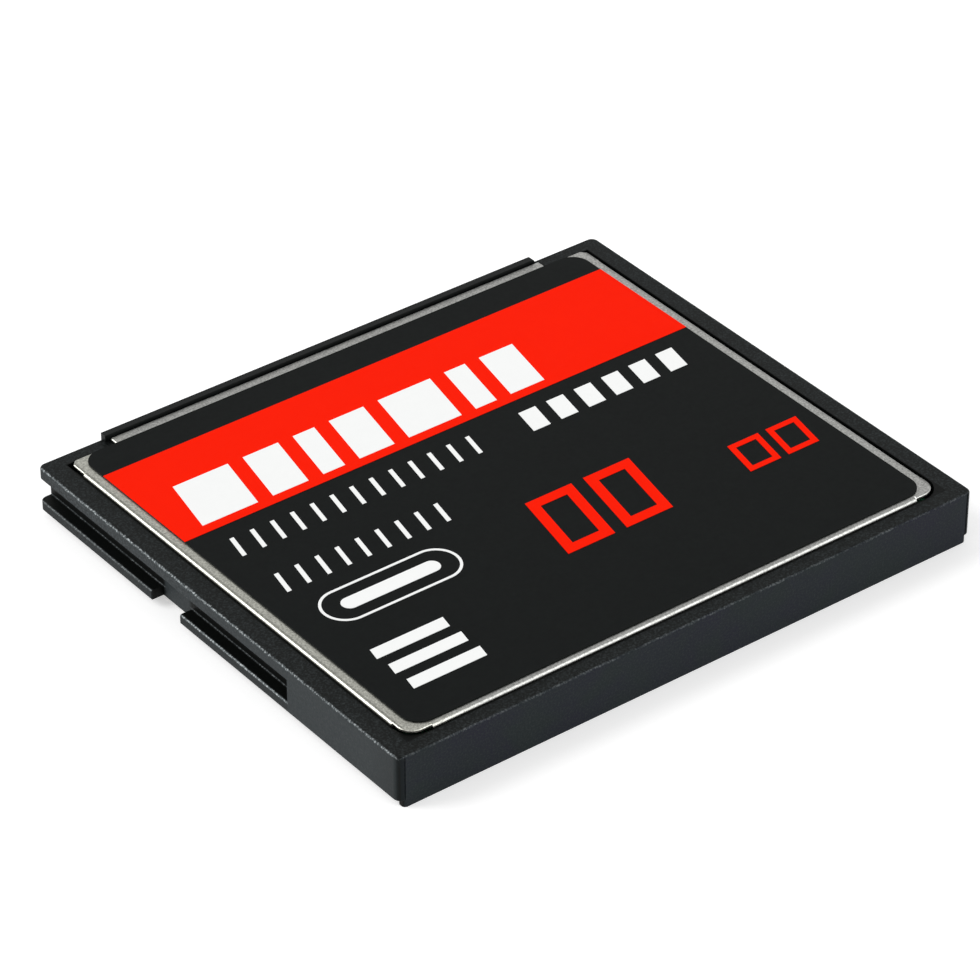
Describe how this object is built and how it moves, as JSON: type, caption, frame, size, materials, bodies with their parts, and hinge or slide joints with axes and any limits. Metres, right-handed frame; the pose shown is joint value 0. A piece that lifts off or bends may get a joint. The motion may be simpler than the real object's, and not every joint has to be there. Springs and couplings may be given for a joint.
{
  "type": "flash memory card",
  "caption": "Flat memory card: black moulded frame with guide grooves and a finger lip, steel sheet covers, a contact socket at one end and a black label with a red band.",
  "frame": {"origin": "under the middle of the card, level with the bottom of the finger lip", "axes": "+X across the card to the right, +Y towards the contact end, +Z out of the label side"},
  "size_m": [0.0428, 0.0364, 0.004],
  "materials": {
    "frame_plastic": "fine spark-eroded moulded texture, slightly worn along its edges",
    "cover_steel": "satin stainless sheet with bright cut edges",
    "label_film": "near-black satin film",
    "red_ink": "satin printed ink",
    "white_ink": "satin printed ink",
    "connector_plastic": "moulded, slightly smoother than the frame",
    "contact_metal": "gold-plated spring alloy",
    "board_laminate": "green solder resist",
    "chip_resin": "moulded package resin",
    "lead_tin": "tin-plated leads",
    "crystal_can": "seam-welded metal can",
    "capacitor_ceramic": "bare ceramic body",
    "resistor_ceramic": "dark glazed top"
  },
  "bodies": {
    "root": {"frame": "frame_plastic", "top_cover": "cover_steel", "bottom_cover": "cover_steel", "label_film": "label_film", "label_red_band": "red_ink", "label_white_print": "white_ink", "label_red_print": "red_ink", "connector_housing": "connector_plastic", "upper_contacts": "contact_metal", "lower_contacts": "contact_metal", "circuit_board": "board_laminate", "flash_chip_top": "chip_resin", "flash_chip_top_leads": "lead_tin", "flash_chip_bottom": "chip_resin", "flash_chip_bottom_leads": "lead_tin", "controller_chip": "chip_resin", "controller_leads": "lead_tin", "voltage_regulator": "chip_resin", "regulator_leads": "lead_tin", "crystal": "crystal_can", "capacitors": "capacitor_ceramic", "resistors": "resistor_ceramic"}
  },
  "joints": []
}
